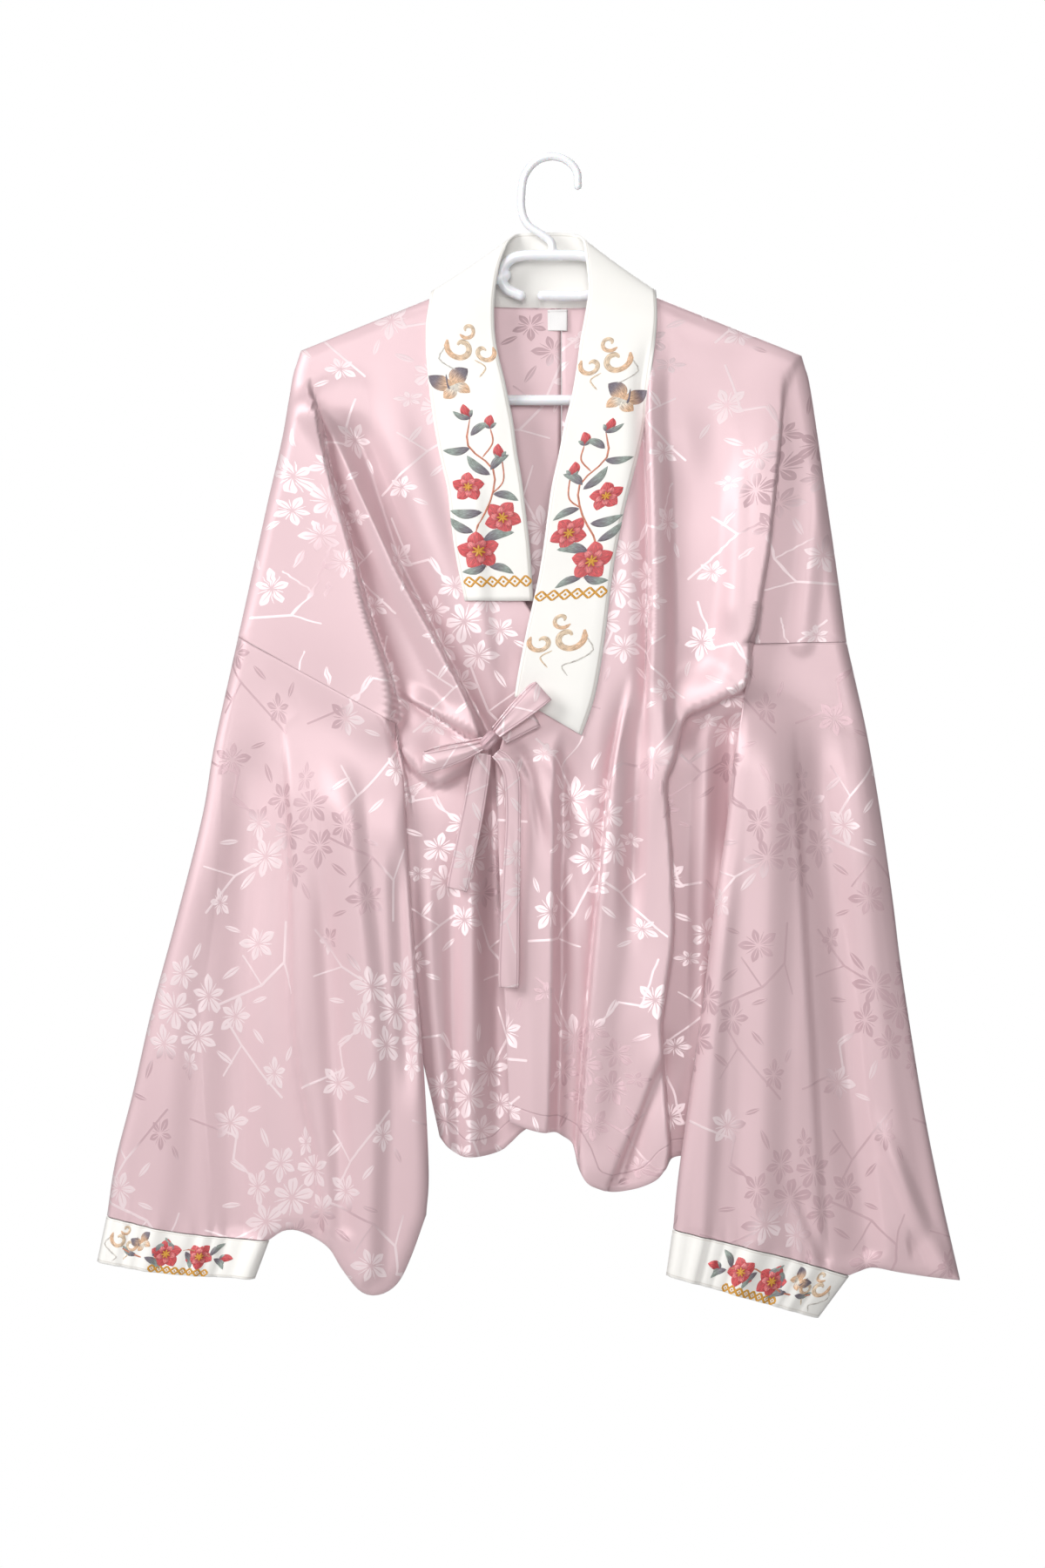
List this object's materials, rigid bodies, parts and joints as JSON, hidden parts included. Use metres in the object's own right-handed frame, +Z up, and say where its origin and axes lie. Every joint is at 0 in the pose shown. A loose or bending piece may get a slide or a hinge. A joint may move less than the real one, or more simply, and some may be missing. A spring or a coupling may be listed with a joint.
{
  "type": "hanfu jacket on a hanger",
  "caption": "Short crossed-front satin jacket with wide hanging sleeves, a pale collar band and cuffs and a tied bow, hung on a moulded hanger.",
  "frame": {"origin": "top of the inside of the hanger's hook, where it rests on a rod", "axes": "+Z up along the hanging jacket, -Y out of its front, +X towards the wearer's left"},
  "size_m": [0.714, 0.0617, 0.9644],
  "materials": {
    "pink_satin": "pale dusty pink satin with a woven blossom and branch pattern",
    "white_satin": "ivory satin with a coral, grey and gold embroidered trim",
    "label": "plain white woven tab",
    "hanger": "white moulded plastic"
  },
  "bodies": {
    "root": {"right_front": "pink_satin", "left_front": "pink_satin", "right_back": "pink_satin", "left_back": "pink_satin", "right_sleeve": "pink_satin", "left_sleeve": "pink_satin", "right_cuff": "white_satin", "left_cuff": "white_satin", "collar": "white_satin", "tie_loop_upper": "pink_satin", "tie_loop_lower": "pink_satin", "tie_tail_left": "pink_satin", "tie_tail_right": "pink_satin", "tie_stub": "pink_satin", "tie_knot": "pink_satin", "label": "label", "hanger_hook": "hanger", "hanger_loop": "hanger", "hanger_arm_right": "hanger", "hanger_arm_left": "hanger", "hanger_bar": "hanger"}
  },
  "joints": []
}
